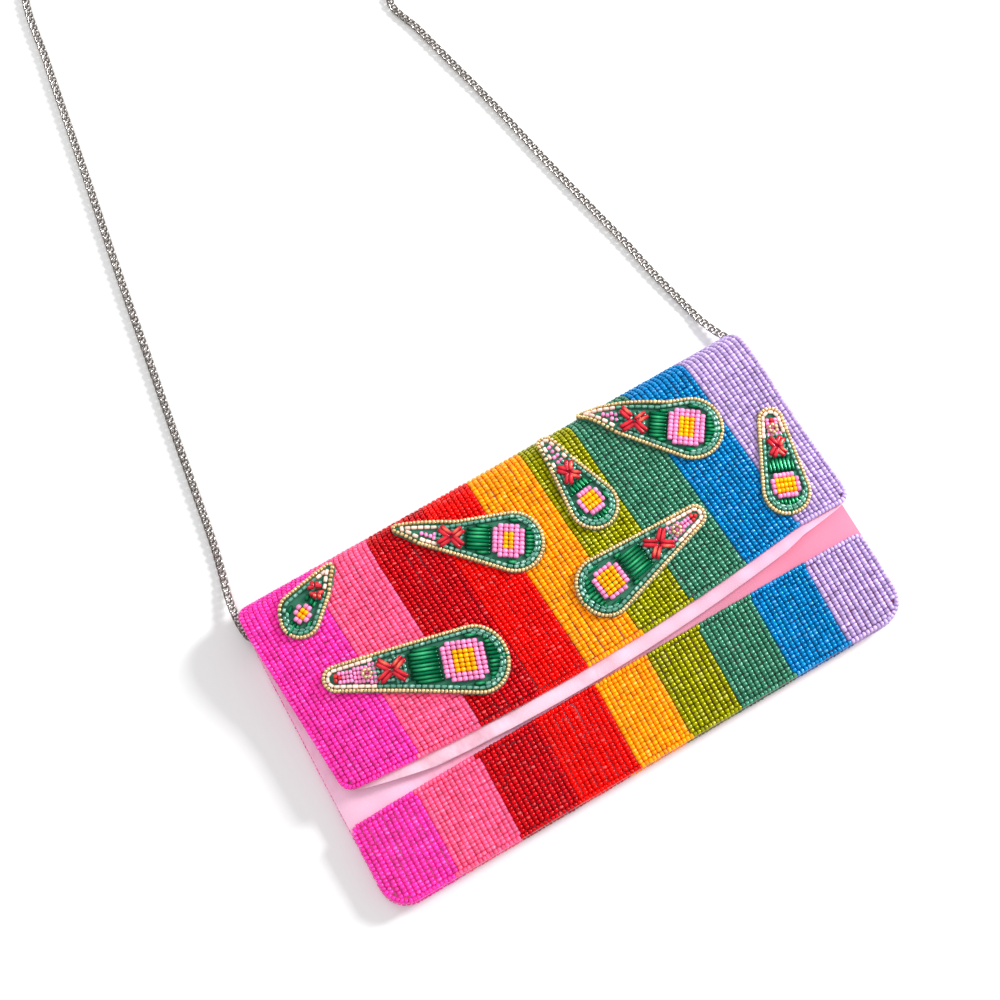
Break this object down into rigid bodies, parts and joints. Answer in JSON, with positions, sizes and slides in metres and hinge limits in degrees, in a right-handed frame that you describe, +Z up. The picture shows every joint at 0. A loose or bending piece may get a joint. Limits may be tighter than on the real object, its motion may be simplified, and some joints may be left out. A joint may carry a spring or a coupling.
{
  "type": "clutch purse",
  "caption": "Foldover clutch purse covered in rainbow stripes of beads, with teardrop bead motifs, a velvet-lined flap on a magnetic snap and a long curb-chain strap.",
  "frame": {"origin": "centre of the purse's footprint, on the surface that its back lies on, without the strap", "axes": "+X along the fold, +Y from the bottom hem to the fold, +Z up through the front and the flap"},
  "size_m": [0.2615, 0.4774, 0.0221],
  "materials": {
    "beads_magenta": "small round glass seed beads sewn in close columns",
    "beads_pink": "small round glass seed beads sewn in close columns",
    "beads_dark_red": "small round glass seed beads sewn in close columns",
    "beads_red": "small round glass seed beads sewn in close columns",
    "beads_orange": "small round glass seed beads sewn in close columns",
    "beads_olive": "small round glass seed beads sewn in close columns",
    "beads_sea_green": "small round glass seed beads sewn in close columns",
    "beads_blue": "small round glass seed beads sewn in close columns",
    "beads_lilac": "small round glass seed beads sewn in close columns",
    "applique_beads": "gold, green, pink and coral glass beads and bugles sewn on a raised pad",
    "velvet": "short-pile pink velvet",
    "base_cloth": "plain woven pink cloth that the beads are sewn to",
    "pocket_lining": "smooth pink woven lining",
    "interlining": "pale felted interlining",
    "ribbon": "folded pink ribbon",
    "nickel": "polished nickel",
    "chain_nickel": "nickel curb chain"
  },
  "bodies": {
    "purse": {"back_beads_magenta": "beads_magenta", "back_beads_pink": "beads_pink", "back_beads_dark_red": "beads_dark_red", "back_beads_red": "beads_red", "back_beads_orange": "beads_orange", "back_beads_olive": "beads_olive", "back_beads_sea_green": "beads_sea_green", "back_beads_blue": "beads_blue", "back_beads_lilac": "beads_lilac", "back_panel": "base_cloth", "back_interlining": "interlining", "back_lining": "pocket_lining", "front_lining": "pocket_lining", "front_interlining": "interlining", "front_panel": "velvet", "band_beads_magenta": "beads_magenta", "band_beads_pink": "beads_pink", "band_beads_dark_red": "beads_dark_red", "band_beads_red": "beads_red", "band_beads_orange": "beads_orange", "band_beads_olive": "beads_olive", "band_beads_sea_green": "beads_sea_green", "band_beads_blue": "beads_blue", "band_beads_lilac": "beads_lilac", "snap_socket": "nickel", "snap_socket_washer": "nickel", "ring_tab_left": "ribbon", "ring_tab_right": "ribbon", "clasp_left": "nickel", "clasp_right": "nickel", "chain_left": "chain_nickel", "chain_right": "chain_nickel", "chain_coil": "chain_nickel"},
    "flap": {"flap_lining": "velvet", "flap_interlining": "interlining", "flap_cloth": "base_cloth", "flap_beads_magenta": "beads_magenta", "flap_beads_pink": "beads_pink", "flap_beads_dark_red": "beads_dark_red", "flap_beads_red": "beads_red", "flap_beads_orange": "beads_orange", "flap_beads_olive": "beads_olive", "flap_beads_sea_green": "beads_sea_green", "flap_beads_blue": "beads_blue", "flap_beads_lilac": "beads_lilac", "applique_small_left": "applique_beads", "applique_upper_left": "applique_beads", "applique_lower_left": "applique_beads", "applique_small_middle": "applique_beads", "applique_lower_right": "applique_beads", "applique_upper_right": "applique_beads", "applique_small_right": "applique_beads", "snap_stud": "nickel", "snap_stud_washer": "nickel"},
    "ring_left": {"ring_left": "nickel"},
    "ring_right": {"ring_right": "nickel"},
    "gate_left": {"gate_left": "nickel"},
    "gate_right": {"gate_right": "nickel"}
  },
  "joints": [
    {"name": "flap_fold", "type": "hinge", "parent": "purse", "child": "flap", "pos_m": [0, 0.073, 0.0088], "axis": [-1, 0, 0], "range_deg": [0, 135]},
    {"name": "ring_swing_left", "type": "hinge", "parent": "purse", "child": "ring_left", "pos_m": [-0.103, 0.012, 0.0063], "axis": [0.9659, 0.2588, 0], "range_deg": [-3, 3]},
    {"name": "gate_press_left", "type": "hinge", "parent": "purse", "child": "gate_left", "pos_m": [-0.10604, 0.02335, 0.0079], "axis": [0.9659, 0.2588, 0], "range_deg": [0, 20], "stiffness_Nm_per_rad": 0.0005, "springref_deg": -11.46},
    {"name": "ring_swing_right", "type": "hinge", "parent": "purse", "child": "ring_right", "pos_m": [0.103, 0.012, 0.0063], "axis": [0.9659, -0.2588, 0], "range_deg": [-3, 3]},
    {"name": "gate_press_right", "type": "hinge", "parent": "purse", "child": "gate_right", "pos_m": [0.10604, 0.02335, 0.0079], "axis": [0.9659, -0.2588, 0], "range_deg": [0, 20], "stiffness_Nm_per_rad": 0.0005, "springref_deg": -11.46}
  ]
}
